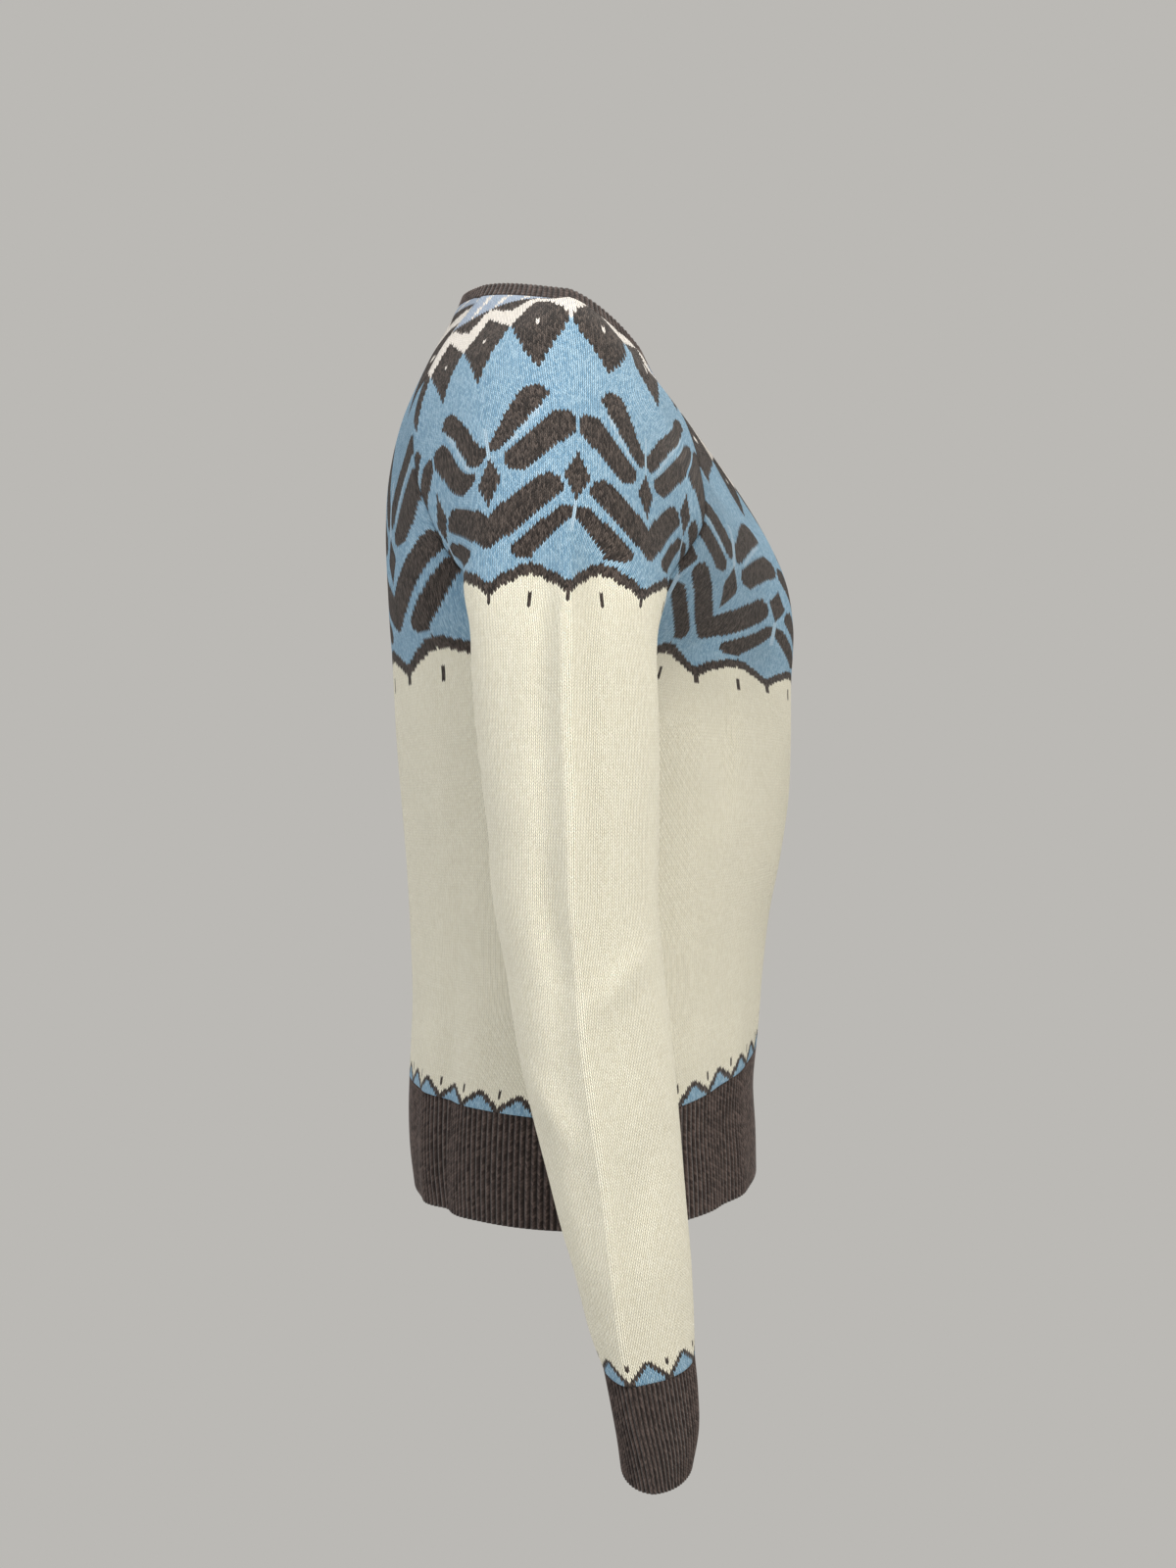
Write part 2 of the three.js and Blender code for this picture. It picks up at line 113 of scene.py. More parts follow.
def back_courses(seam, leave, middle, reach):
    """Rows of the back, from the left seam to the right one."""
    right = courses(middle, reach, leave * RIGHT, seam * RIGHT, HALF_BODY)
    return np.concatenate([mirrored(right)[:, :-1], right], axis=1)


def body_courses(table, t):
    """Front and back rows of the body: an oval, squarer across the front and back."""
    side = smooth_through(table["side"], t)
    dips = {"front": smooth_through(table["dip"], t), "back": 0 * side}
    halves = []
    for name, make in (("front", front_courses), ("back", back_courses)):
        middle = smooth_through(table[name], t)
        leave = (middle - side) * (0, 0.56, 0.1) - dips[name]
        halves.append(make(side, leave, middle, side * (-0.62, 0, 0) - dips[name]))
    return halves


EASED_ROWS = 7.0
EASING_ROUNDS = 60


def rows_down(upper, lower):
    """Two grids of rows joined where the lower one starts, and eased across the join."""
    grid = np.concatenate([upper, lower[1:]], axis=0)
    join = len(upper) - 1
    ease = np.exp(-((np.arange(len(grid)) - join) / EASED_ROWS)**2)[1:-1, None, None]
    for _ in range(EASING_ROUNDS):
        settled = grid[:-2] * 0.25 + grid[1:-1] * 0.5 + grid[2:] * 0.25
        inner = grid[1:-1, 1:-1] * (1 - ease) + settled[:, 1:-1] * ease
        grid[1:-1, 1:-1] = inner
    return grid


def outward(grid, closed=False):
    """Unit normals of a grid of points."""
    down = np.gradient(grid, axis=0)
    if closed:
        along = np.roll(grid, -1, axis=1) - np.roll(grid, 1, axis=1)
    else:
        along = np.gradient(grid, axis=1)
    normal = np.cross(down, along)
    return normal / np.linalg.norm(normal, axis=2, keepdims=True)


def across_and_down(grid, middle):
    """Millimetres along each row from the middle column, and down the middle column."""
    steps = np.linalg.norm(np.diff(grid, axis=1), axis=2)
    across = np.cumsum(np.pad(steps, ((0, 0), (1, 0))), axis=1)
    fall = np.linalg.norm(np.diff(grid[:, middle], axis=0), axis=1)
    down = np.cumsum(np.pad(fall, (1, 0)))[:, None]
    return across - across[:, middle:middle + 1], np.broadcast_to(down, across.shape)


def fade(low, high, x):
    """0 up to low, 1 from high, and smooth between them."""
    t = np.clip((x - low) / (high - low), 0, 1)
    return t * t * (3 - 2 * t)


def chart_fit(marks):
    """Wale and course anywhere on a panel, from a few marks (across, down, wale, course)."""
    marks = np.array(marks, float)
    at = marks[:, :2] / 100

    def bend(a, b):
        r = np.linalg.norm(a[:, None] - b[None], axis=2)
        return r * r * np.log(r + 1e-9)

    flat = np.column_stack([np.ones(len(at)), at])
    system = np.block([[bend(at, at) + 0.004 * np.eye(len(at)), flat],
                       [flat.T, np.zeros((3, 3))]])
    weights = np.linalg.solve(system, np.vstack([marks[:, 2:], np.zeros((3, 2))]))

    def read(across, down):
        where = np.column_stack([across.ravel(), down.ravel()]) / 100
        full = np.column_stack([bend(where, at), np.ones(len(where)), where])
        return (full @ weights).reshape(*across.shape, 2)

    return read


def creases(across, height, lines):
    """Soft ridges, and troughs where the depth is negative, along lines on a panel."""
    relief = np.zeros(across.shape)
    for start, end, width, depth in lines:
        line = np.subtract(end, start)
        place = np.stack([across, height], axis=-1) - start
        t = np.clip((place @ line) / (line @ line), 0, 1)
        away = np.linalg.norm(place - t[..., None] * line, axis=-1)
        ends = np.sin(math.pi * np.clip(0.08 + 0.84 * t, 0, 1))
        relief += depth * ends * np.exp(-(away / width)**2)
    return relief


# Each upright fold: where it stands (x, y), the height it starts at, its width and its depth.
UPRIGHT_FOLDS = [
    (-116, 90, -330, 9, -3.4), (-96, 107, -300, 13, 3.0), (-134, 74, -330, 11, 1.8),
    (-120, -92, -300, 12, -2.6), (-98, -108, -290, 15, 2.6), (60, -118, -380, 20, 2.0),
    (112, -96, -320, 13, -2.4), (104, 98, -350, 14, -2.6), (70, 116, -330, 20, 2.4),
]
FOLD_GROWS_OVER = 200


def drape(grid):
    """Soft upright folds of the hanging body, which run on from the panels into the rib."""
    bulge = np.zeros(grid.shape[:2])
    for x, y, top, width, depth in UPRIGHT_FOLDS:
        away = np.hypot(grid[..., 0] - x, grid[..., 1] - y)
        grown = fade(0, FOLD_GROWS_OVER, top - grid[..., 2])
        bulge += depth * grown * np.exp(-(away / width)**2)
    return bulge


def stitch_counts(across, down, marks, gauge, even_from, even_to, join):
    """Wale and course over a panel: as charted on the yoke, and in an even gauge below it."""
    join_down, join_course = join
    charted = chart_fit(marks)(across, down)
    even = np.stack([across / gauge[0], join_course + (down - join_down) / gauge[1]], axis=-1)
    share = fade(even_from, even_to, down)[..., None]
    return charted * (1 - share) + even * share


def border_counts(wale, down, course_height):
    """Wale, and courses up from the rib, for the border that is knitted above it."""
    return np.stack([wale, (down[-1:] - down) / course_height], axis=-1)


def knit_mesh(name, grid, stitches, border, closed=False):
    """A sheet of knitting as a mesh, with its stitch counts in two UV maps."""
    rows, columns = grid.shape[:2]
    last = columns if closed else columns - 1
    r, c = np.meshgrid(np.arange(rows - 1), np.arange(last), indexing="ij")
    n = (c + 1) % columns
    quads = np.stack([r * columns + c, (r + 1) * columns + c, (r + 1) * columns + n,
                      r * columns + n], axis=-1).reshape(-1, 4)
    corners = np.stack([r * (last + 1) + c, (r + 1) * (last + 1) + c,
                        (r + 1) * (last + 1) + c + 1, r * (last + 1) + c + 1], axis=-1)
    mesh = bpy.data.meshes.new(name)
    mesh.from_pydata((grid.reshape(-1, 3) / 1000).tolist(), [], quads.tolist())
    for title, values in (("stitches", stitches), ("border", border)):
        layer = mesh.uv_layers.new(name=title)
        flat = values.reshape(-1, 2)[corners.ravel()]
        layer.data.foreach_set("uv", flat.astype(np.float32).ravel())
    mesh.polygons.foreach_set("use_smooth", np.ones(len(quads), bool))
    mesh.update()
    piece = bpy.data.objects.new(name, mesh)
    bpy.context.scene.collection.objects.link(piece)
    wall = piece.modifiers.new("cloth", "SOLIDIFY")
    wall.thickness = CLOTH / 1000
    wall.offset = -1
    return piece


def dye(red, green, blue):
    """A yarn colour, from its 0 to 255 values to the linear ones of a shader."""
    return tuple(((v / 255 + 0.055) / 1.055)**2.4 for v in (red, green, blue)) + (1.0,)


class Thread:
    """One socket of a material, so that shader maths on it reads as an expression."""

    def __init__(self, tree, socket):
        self.tree = tree
        self.socket = socket

    def node(self, kind, settings, inputs, output=0):
        made = self.tree.nodes.new(kind)
        for setting, value in settings.items():
            setattr(made, setting, value)
        for slot, value in inputs.items():
            if isinstance(value, Thread):
                self.tree.links.new(value.socket, made.inputs[slot])
            else:
                made.inputs[slot].default_value = value
        return Thread(self.tree, made.outputs[output])

    def maths(self, operation, *others):
        inputs = dict(enumerate((self, *others)))
        return self.node("ShaderNodeMath", {"operation": operation}, inputs)

    def __add__(self, other):
        return self.maths("ADD", other)

    def __sub__(self, other):
        return self.maths("SUBTRACT", other)

    def __mul__(self, other):
        return self.maths("MULTIPLY", other)

    def __truediv__(self, other):
        return self.maths("DIVIDE", other)

    def __pow__(self, other):
        return self.maths("POWER", other)

    def __lt__(self, other):
        return self.maths("LESS_THAN", other)

    def __gt__(self, other):
        return self.maths("GREATER_THAN", other)

    def __abs__(self):
        return self.maths("ABSOLUTE")

    def __floor__(self):
        return self.maths("FLOOR")

    def __rsub__(self, other):
        return self * -1 + other

    __radd__ = __add__
    __rmul__ = __mul__

    def part(self):
        return self.maths("FRACT")

    def least(self, other):
        return self.maths("MINIMUM", other)

    def most(self, other):
        return self.maths("MAXIMUM", other)

    def within(self):
        return self.most(0.0).least(1.0)

    def colour(self, first, second):
        """Mixes two colours, with this value as the share of the second."""
        return self.node("ShaderNodeMix", {"data_type": "RGBA"},
                         {0: self, 6: first, 7: second}, output=2)


def axis_of(tree, uv_map):
    """The two values of a UV map, as threads."""
    source = tree.nodes.new("ShaderNodeUVMap")
    source.uv_map = uv_map
    start = Thread(tree, source.outputs[0])
    return [start.node("ShaderNodeSeparateXYZ", {}, {0: start}, output=i) for i in (0, 1)]


def capsule(x, y, start, end, radius, far_radius):
    """1 inside a long rounded leaf from start to end, and 0 outside it."""
    dx, dy = end[0] - start[0], end[1] - start[1]
    t = (((x - start[0]) * dx + (y - start[1]) * dy) / (dx * dx + dy * dy)).within()
    off_x, off_y = x - start[0] - t * dx, y - start[1] - t * dy
    reach = radius + t * (far_radius - radius)
    return (off_x * off_x + off_y * off_y) < (reach * reach)


def teardrop(x, y, top, widest, bottom, half_width):
    """1 inside a pointed drop that hangs on the line x = 0."""
    slope = ((y - top) / (widest - top)).least((bottom - y) / (bottom - widest))
    return abs(x) < (slope * half_width + 0.3)


STOCKINETTE_FINISH = {"smoothing": 0.12, "bump": 0.9, "depth": 0.0012, "sheen": 0.08}


def paint_shade_and_finish(shader, wool, shade, relief, fibre, finish):
    """Paints the shade into the wool's colour and links it to its shader, with its roughness, its
    bump and its sheen.
    """
    shaded = shade.node("ShaderNodeVectorMath", {"operation": "SCALE"},
                        {0: wool, "Scale": shade})
    rough = 0.98 - relief * finish["smoothing"]
    bump = relief.node("ShaderNodeBump", {}, {
        "Strength": finish["bump"], "Distance": finish["depth"],
        "Height": relief + fibre * 0.3})
    shade.tree.links.new(shaded.socket, shader.inputs["Base Color"])
    shade.tree.links.new(rough.socket, shader.inputs["Roughness"])
    shade.tree.links.new(bump.socket, shader.inputs["Normal"])
    shader.inputs["Sheen Weight"].default_value = finish["sheen"]
    shader.inputs["Sheen Roughness"].default_value = 0.5
    shader.inputs["Specular IOR Level"].default_value = 0.15


# The chart is one repeat of 48 wales, mirrored on the line of each spray of leaves and on the
# line half way to the next spray. Its courses are counted down from the neckline.
HALF_REPEAT = 24
DIAMOND_STEP = 16
TRIM_COURSES = 4
BLUE_FROM = 22
WAVE_FOOT = 112.4
WAVE_RISE = 7.0
# Each leaf: its line, its two ends (wale off the line, course), and its half width at each.
LEAVES = [
    ("spray", (2.4, 67), (13.4, 51.8), 2.7, 3.7),
    ("spray", (7.6, 73), (19.6, 61.6), 3.5, 4.0),
    ("spray", (0, 95.6), (16.6, 80.2), 4.1, 3.8),
    ("half way", (2.6, 88.2), (14.2, 99.2), 2.5, 3.2),
]
# Each drop: its line, the courses of its top, its widest place and its foot, its half width.
DROPS = [("spray", 73, 79.5, 86, 3.2), ("half way", 69.5, 76, 83, 3.5)]
# Each light stem, one wale wide: its line, and the courses it runs between.
STEMS = [("spray", 58, 74), ("half way", 84, 94)]
# Each yarn: the colours of its darkest and its lightest fibre.
YARNS = {
    "cream": ((234, 228, 206), (249, 245, 227)),
    "blue": ((102, 146, 177), (170, 201, 221)),
    "light blue": ((158, 190, 212), (186, 208, 224)),
    "brown": ((24, 17, 14), (104, 92, 85)),
    "pale blue": ((150, 166, 190), (178, 190, 206)),
    "white": ((228, 221, 212), (244, 238, 231)),
}


def sprays(x, y):
    """The dark leaves and drops of the chart, and the light stems between them."""
    lines = {"spray": x, "half way": HALF_REPEAT - x}
    dark = light = 0
    for name, start, end, width, far_width in LEAVES:
        leaf = capsule(lines[name], y, start, end, width, far_width)
        if start[0] > 0:
            leaf = leaf * (lines[name] > 0.9)
        dark = leaf + dark
    for name, top, widest, foot, half_width in DROPS:
        dark = dark + teardrop(lines[name], y, top, widest, foot, half_width)
    for name, top, foot in STEMS:
        light = (lines[name] < 0.6) * (y > top) * (y < foot) + light
    vein = capsule(x, y, (6, 68.5), (14.8, 56.6), 0.5, 0.5)
    return dark, light + vein


def stockinette(name, peak_wales, stitches_a_wale, inside=False):
    """Wool stockinette, its yoke chart and rib border worked stitch by stitch."""
    material = bpy.data.materials.new(name)
    material.use_nodes = True
    tree = material.node_tree
    shader = tree.nodes["Principled BSDF"]
    wale, course = axis_of(tree, "stitches")
    border_wale, above_rib = axis_of(tree, "border")

    # One stitch is a V: its two legs fall one course towards the middle of the stitch.
    place_in_row = wale * stitches_a_wale + 0.5
    in_stitch = abs(place_in_row.part() - 0.5)
    slanted = course - (1 - in_stitch * 2)
    column = math.floor(place_in_row) / stitches_a_wale
    row = math.floor(slanted)
    x = HALF_REPEAT - column.maths("PINGPONG", float(HALF_REPEAT))
    y = row + 0.5

    # Diamonds with an eye, and below the sprays a wave, with a tail at each of its low points
    # and a tick under each of its crests.
    off_diamond = x.least(abs(x - DIAMOND_STEP))
    diamond_top = (off_diamond / 8)**1.15 * 13 + 9
    diamond_foot = 41 - off_diamond * 2.4
    diamond = (y > diamond_top) * (y < diamond_foot)
    eye = (off_diamond < 0.6) * (abs(y - 23.0) < 0.6)
    round_swell = (x * (math.pi / HALF_REPEAT)).maths("SINE")
    pointed_swell = 1 - abs(x - HALF_REPEAT / 2) / (HALF_REPEAT / 2)
    wave = WAVE_FOOT - (round_swell * 0.55 + pointed_swell * 0.45) * WAVE_RISE
    band = abs(y - wave) < 2.0
    low_point = (x < 0.6) + (x > HALF_REPEAT - 0.6)
    tail = low_point * (y > 112) * (y < 117)
    tick = (abs(x - 12.2) < 0.6) * (y > 112.6) * (y < 117.6)
    leaves, stems = sprays(x, y)
    dark = (leaves + band + tail + tick).least(1.0)

    # The trim above the diamonds, and a zigzag with a dot over each dip just above the rib.
    zigzag_top = off_diamond * 0.75 + TRIM_COURSES
    stripe = (((column + y * 1.4) / 9).part() < 0.2)
    above = above_rib + course - y
    from_peak = abs(((border_wale - wale + column) / peak_wales).part() - 0.5) * 2
    crest = (1 - from_peak**1.4) * (peak_wales * 0.3 + 3.2)
    zigzag = abs(above - crest - 0.4) < (from_peak * 0.8 + 0.85)
    dot = (from_peak > 1 - 0.9 / peak_wales) * (above > 5.2) * (above < 8.2)

    # Marled yarn: every leg of every stitch takes its own mix of light and dark fibre.
    leg = math.floor(place_in_row * 2)
    cell = leg.node("ShaderNodeCombineXYZ", {}, {0: leg, 1: row})
    speck = cell.node("ShaderNodeTexWhiteNoise", {"noise_dimensions": "2D"}, {"Vector": cell})
    place = cell.node("ShaderNodeTexCoord", {}, {}, output="Object")
    fibre = place.node("ShaderNodeTexNoise", {"noise_dimensions": "3D"},
                       {"Vector": place, "Scale": 900.0, "Detail": 2.0})
    cloud = place.node("ShaderNodeTexNoise", {"noise_dimensions": "3D"},
                       {"Vector": place, "Scale": 18.0, "Detail": 3.0})
    marl = (speck * 0.75 + fibre * 0.5 - 0.12).within()
    mixes = {yarn: marl for yarn in YARNS} | {"brown": marl**1.6}
    yarn = {key: mixes[key].colour(dye(*YARNS[key][0]), dye(*YARNS[key][1])) for key in YARNS}

    # The yarns in their places, from the ground up to the border.
    field = (y > BLUE_FROM).least((y > diamond_foot) + (off_diamond > 7.4)) * (y < wave)
    white_band = (y > zigzag_top) * (y < diamond_top)
    undyed = (y < 60).colour(yarn["cream"], yarn["white"])
    ground = (field * (1 - white_band)).colour(undyed, yarn["blue"])
    top_edge = (y < zigzag_top) * (y > TRIM_COURSES)
    pattern = (dark + diamond * (1 - eye) + top_edge).least(1.0)
    stemmed = stems.least(1.0).colour(ground, yarn["light blue"])
    shown = pattern.colour(stemmed, yarn["brown"])
    trim = stripe.colour(yarn["pale blue"], yarn["white"])
    shown = (y < TRIM_COURSES).colour(shown, trim)
    shown = ((above < crest) * (above < 20)).colour(shown, yarn["blue"])
    shown = ((zigzag + dot).least(1.0) * (above > -1)).colour(shown, yarn["brown"])

    # Painted shade: each leg is shaded as round across and along, with a painted shadow where it
    # meets its neighbours.
    across = (in_stitch - 0.25) * 4
    along = (slanted.part() - 0.5) * 2
    round_leg = (1 - across * across).most(0.0)**0.5
    relief = round_leg * (1 - along * along * 0.45)
    between_wales = (in_stitch * 2)**5
    shade = (relief * 0.72 + 0.4 - pattern * 0.06) * (1 - between_wales * 0.2)
    shade = shade * ((cloud - 0.5) * 0.12 + 1)
    # The inside face gets a flatter painted shade of its purl ridges.
    if inside:
        relief = (1 - along * along) * 0.8
        shade = relief * 0.25 + 0.6
    paint_shade_and_finish(shader, shown, shade, relief, fibre, STOCKINETTE_FINISH)
    return material


def dress(piece, outside, lining, node, slot, flat, area):
    """Gives a piece its finishes, puts it on the frame and hides its part in the model; the flat
    cloth it is cut as is not used.
    """
    piece.data.materials.append(outside)
    piece.data.materials.append(lining)
    piece.modifiers["cloth"].material_offset = 1
    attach(piece, "root")
    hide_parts(node)


SEAM_DEPTH = 0.9
SEAM_WIDTH = 2.6
FOLDS_CLEAR_SEAM = 6


def worked(grid, across, relief):
    """A panel with its folds, and its seams turned in by a way that both panels share."""
    seam = np.minimum(across - across[:, :1], across[:, -1:] - across)
    inward = (np.array([0.0, 12.0, 0.0]) - grid) * (0.38, 1, 0) - (0, 0, 25)
    inward /= np.linalg.norm(inward, axis=2, keepdims=True)
    turn = SEAM_DEPTH * np.exp(-(seam / SEAM_WIDTH)**2)
    folds = relief * fade(0, FOLDS_CLEAR_SEAM, seam)
    return grid + outward(grid) * folds[..., None] + inward * turn[..., None]


yoke_t = np.linspace(0, 1, YOKE_ROWS + 1)
body_t = np.linspace(0, 1, BODY_ROWS + 1)
body_front, body_back = body_courses(body, body_t)
front_grid = rows_down(
    front_courses(*(smooth_through(yoke[k], yoke_t) for k in (
        "front_seam", "front_in", "front_middle", "front_reach"))),
    body_front)

# Where the chart lies on the front: across from the middle, down from the neck, wale, course.
FRONT_CHART = [
    (132, 76, 48, 41), (100, 59, 40, 25), (86, 48, 32, 9), (70, 60, 24, 25), (135, 97, 48, 58),
    (166, 146, 48, 91), (171, 156, 48, 101), (167, 174, 48, 113), (122, 136, 31, 80),
    (175, 130, 65, 80), (96, 129, 24, 76), (102, 138, 24, 84), (134, 164, 36, 105.3),
    (0, 4, 0, 0), (0, 50, 0, 25), (0, 70, 0, 41), (0, 122, 0, 73), (0, 143, 0, 91),
    (0, 171, 0, 113), (40, 72, 16, 41), (42, 54, 16, 25), (52, 3, 27, -1),
]
BODY_COURSE = 1.7
BODY_PEAK_WALES = 8.0
# Each crease on the front: its ends (across, height), its width and its depth.
FRONT_CREASES = [
    ((-128, -262), (-120, -470), 9, 1.6), ((-148, -262), (-128, -350), 10, -3.2),
    ((124, -268), (118, -440), 10, 1.4),
]
across, down = across_and_down(front_grid, HALF_BODY)
counts = stitch_counts(np.abs(across), down, FRONT_CHART, gauge=(3.4, BODY_COURSE),
                       even_from=168, even_to=215, join=(172, 112))
wale = np.sign(across) * counts[..., 0]
counts = np.stack([wale + HALF_REPEAT, counts[..., 1]], axis=-1)
relief = drape(front_grid) + creases(across, front_grid[..., 2], FRONT_CREASES)
body_knit = stockinette("body_knit", BODY_PEAK_WALES, 2.0)
body_lining = stockinette("body_lining", BODY_PEAK_WALES, 2.0, inside=True)
front = knit_mesh("front_knit", worked(front_grid, across, relief), counts,
                  border_counts(wale, down, BODY_COURSE))
dress(front, body_knit, body_lining, "front", "stockinette", flat=(0.46, 0.42), area=0.176)


# Back panel: the same wool and gauge, its neck higher than the front's. The chart is centred
# between two sprays, and the side seams below the underarm join it to the front.
yoke |= {
    "back_seam": [(56, 72, -10), (66, 98, -48), (80, 112, -88), (103, 110, -130),
                  (128, 99, -162), (149, 82, -193), (158, 48, -223), (163, 5, -249)],
    "back_middle": [(0, 89, -9), (0, 105, -44), (0, 124, -80), (0, 134, -120),
                    (0, 136, -160), (0, 133.5, -205), (0, 132.5, -231), (0, 131.5, -256)],
    "back_in": [(-18, 12, 0), (-22, 8, 1), (-28, 7, 2), (-34, 14, 3),
                (-34, 26, 1), (-20, 40, -2), (-6, 62, -3), (0, 72, -3)],
    "back_reach": [(-22, 0, 0), (-24, 0, 0), (-28, 0, 0), (-38, 0, 0),
                   (-56, 0, 0), (-80, 0, 0), (-90, 0, 0), (-100, 0, 0)],
}
back_grid = rows_down(
    back_courses(*(smooth_through(yoke[k], yoke_t) for k in (
        "back_seam", "back_in", "back_middle", "back_reach"))),
    body_back)
BACK_CHART = [
    (0, 0, 0, 0), (0, 46, 0, 25), (0, 82, 0, 41), (0, 189, 0, 79.5), (0, 227, 0, 97),
    (0, 259, 0, 113), (22, 47, 8, 25), (64, 46, 24, 25), (62, 82, 24, 41), (109, 126, 44, 61.3),
    (98, 174, 31.4, 73.4), (87, 189, 24, 79.5), (147, 182, 41, 80), (155, 228, 41, 98),
    (90, 259, 24, 113), (152, 257, 41, 113), (45, 189, 12, 79.5),
]
BACK_CREASES = [((120, -262), (112, -460), 10, 1.5), ((-126, -270), (-120, -430), 9, 1.6)]
across, down = across_and_down(back_grid, HALF_BODY)
counts = stitch_counts(np.abs(across), down, BACK_CHART, gauge=(3.5, BODY_COURSE),
                       even_from=256, even_to=310, join=(259, 113))
wale = np.sign(across) * counts[..., 0]
counts = np.stack([wale, counts[..., 1]], axis=-1)
relief = drape(back_grid) + creases(across, back_grid[..., 2], BACK_CREASES)
back = knit_mesh("back_knit", worked(back_grid, across, relief), counts,
                 border_counts(wale, down, BODY_COURSE))
dress(back, body_knit, body_lining, "back", "stockinette", flat=(0.46, 0.54), area=0.184)


# Sleeves: each is one piece from the neck to the wrist, folded along its outer ridge and closed
# by an underarm seam. The ridge keeps the press of that fold as a soft raised band.
SLEEVE_ROWS = 210
HALF_SLEEVE = 52
SLEEVE_PEAK_WALES = 12.0

yoke |= {
    "ridge": [(84, 12, -18), (112, 12, -23), (138, 12, -40), (160, 12, -70),
              (186, 12, -111), (214, 12, -160), (230, 12, -205), (243, 12.5, -249)],
    "ridge_front": [(0, -18, -6), (-3, -20, -4), (-6, -28, -6), (-9, -34, -5),
                    (-12, -42, -3), (-16, -46, -2), (-18, -56, -1), (-20, -65, 0)],
    "front_out": [(14, 12, 13), (14, 16, 14), (20, 18, 22), (24, 14, 24),
                  (28, 6, 18), (32, 0, 6), (24, -34, 2), (20, -65, 0)],
    "ridge_back": [(0, 22, 2), (-3, 26, -2), (-6, 34, -4), (-9, 40, -4),
                   (-12, 46, -3), (-16, 56, -2), (-18, 70, -1), (-22, 80, 0)],
    "back_out": [(14, -17, 0), (18, -24, 6), (26, -24, 18), (30, -20, 24),
                 (32, -14, 18), (34, -2, 8), (28, 42, 3), (22, 80, 0)],
}
arm_table = {
    "inner": [(163, 5, -249), (166, 9, -300), (168, 8, -352), (170, 7, -394), (172, 3, -434),
              (174, -1, -466), (177, -6, -502), (180, -14, -547), (182, -19, -576),
              (182.5, -23, -601), (182.5, -28, -632), (183, -32, -654)],
    "ridge": [(243, 12.5, -249), (247, 11.5, -300), (250, 9.5, -356), (251, 9, -400),
              (252, 5.5, -442), (253, 2.5, -476), (254, -2.5, -514), (256, -9.5, -561),
              (257, -13, -590), (257, -16, -615), (255, -20, -648), (253, -24, -670)],
    "reach": [(0, -40, 69.5), (0, -42, 65.5), (0, -42, 59), (0, -41.5, 55.6), (0, -44.5, 48),
              (0, -48.7, 43), (0, -52, 35.5), (0, -55.6, 23.5), (0, -58, 15.8), (0, -60, 8),
              (0, -61.5, -0.5), (0, -62, -9)],
}


def sleeve_courses(table, t):
    """Rows of the right sleeve, from its seam round the back to the ridge and on to the seam."""
    inner = smooth_through(table["inner"], t) * RIGHT
    ridge = smooth_through(table["ridge"], t) * RIGHT
    reach = smooth_through(table["reach"], t)
    middle = (inner[:, 1] + ridge[:, 1]) / 2
    zero = np.zeros(len(t))

    def handle(side, extent):
        length = (extent - middle) / 0.75
        return np.stack([side * 0.3 * np.abs(length), length, zero], axis=1)

    behind, ahead = reach[:, 2], reach[:, 1]
    back_half = courses(inner, handle(-1, behind), handle(1, behind), ridge, HALF_SLEEVE)
    front_half = courses(ridge, handle(1, ahead), handle(-1, ahead), inner, HALF_SLEEVE)
    return np.concatenate([back_half, front_half[:, 1:]], axis=1)


cap = {k: smooth_through(yoke[k], yoke_t) * RIGHT for k in (
    "back_seam", "back_out", "ridge_back", "ridge", "ridge_front", "front_out", "front_seam")}
cap_grid = np.concatenate([
    courses(cap["back_seam"], cap["back_out"], cap["ridge_back"], cap["ridge"], HALF_SLEEVE),
    courses(cap["ridge"], cap["ridge_front"], cap["front_out"], cap["front_seam"],
            HALF_SLEEVE)[:, 1:]], axis=1)
arm_t = np.linspace(0, 1, SLEEVE_ROWS + 1)
sleeve_grid = rows_down(cap_grid, sleeve_courses(arm_table, arm_t))

SLEEVE_CHART = [
    (2, 68, 0, 25), (-41, 51, -16, 25), (45, 53, 16, 25), (-21, 14, -8, 9), (27, 95, 8, 41),
    (-65, 82, -24, 41), (-80, 48, -32, 25), (-90, 26, -40, 9), (68, 88, 24, 41),
    (62, 65, 24, 25), (-51, 154, -23.3, 72), (-34, 168, -16.6, 73.4), (51, 166, 23.3, 72),
    (40, 176, 16.6, 73.4), (84, 86, 34.3, 51.5), (83, 130, 44, 61.3), (62, 170, 31.4, 73.4),
    (-53, 172, -24, 79.5), (52, 180, 24, 79.5), (-52, 229, -24, 101), (-29, 233, -15.1, 99),
    (38, 234, 15.1, 99), (1, 257, 0, 110.5), (20, 247, 12, 105.3), (-61, 150, -26.5, 67),
    (-98, 114, -43, 62), (-90, 178, -41, 80),
]
SLEEVE_CREASES = [
    ((-16, -362), (-6, -455), 9, -3.4), ((4, -462), (46, -424), 9, 3.0),
    ((-44, -488), (-12, -540), 10, 2.4), ((34, -530), (8, -604), 10, -2.4),
]
across, down = across_and_down(sleeve_grid, HALF_SLEEVE)
height = sleeve_grid[..., 2]
counts = stitch_counts(across, down, SLEEVE_CHART, gauge=(2.15, 1.95),
                       even_from=255, even_to=320, join=(257, 112))
border = border_counts(counts[..., 0], down, 1.75)

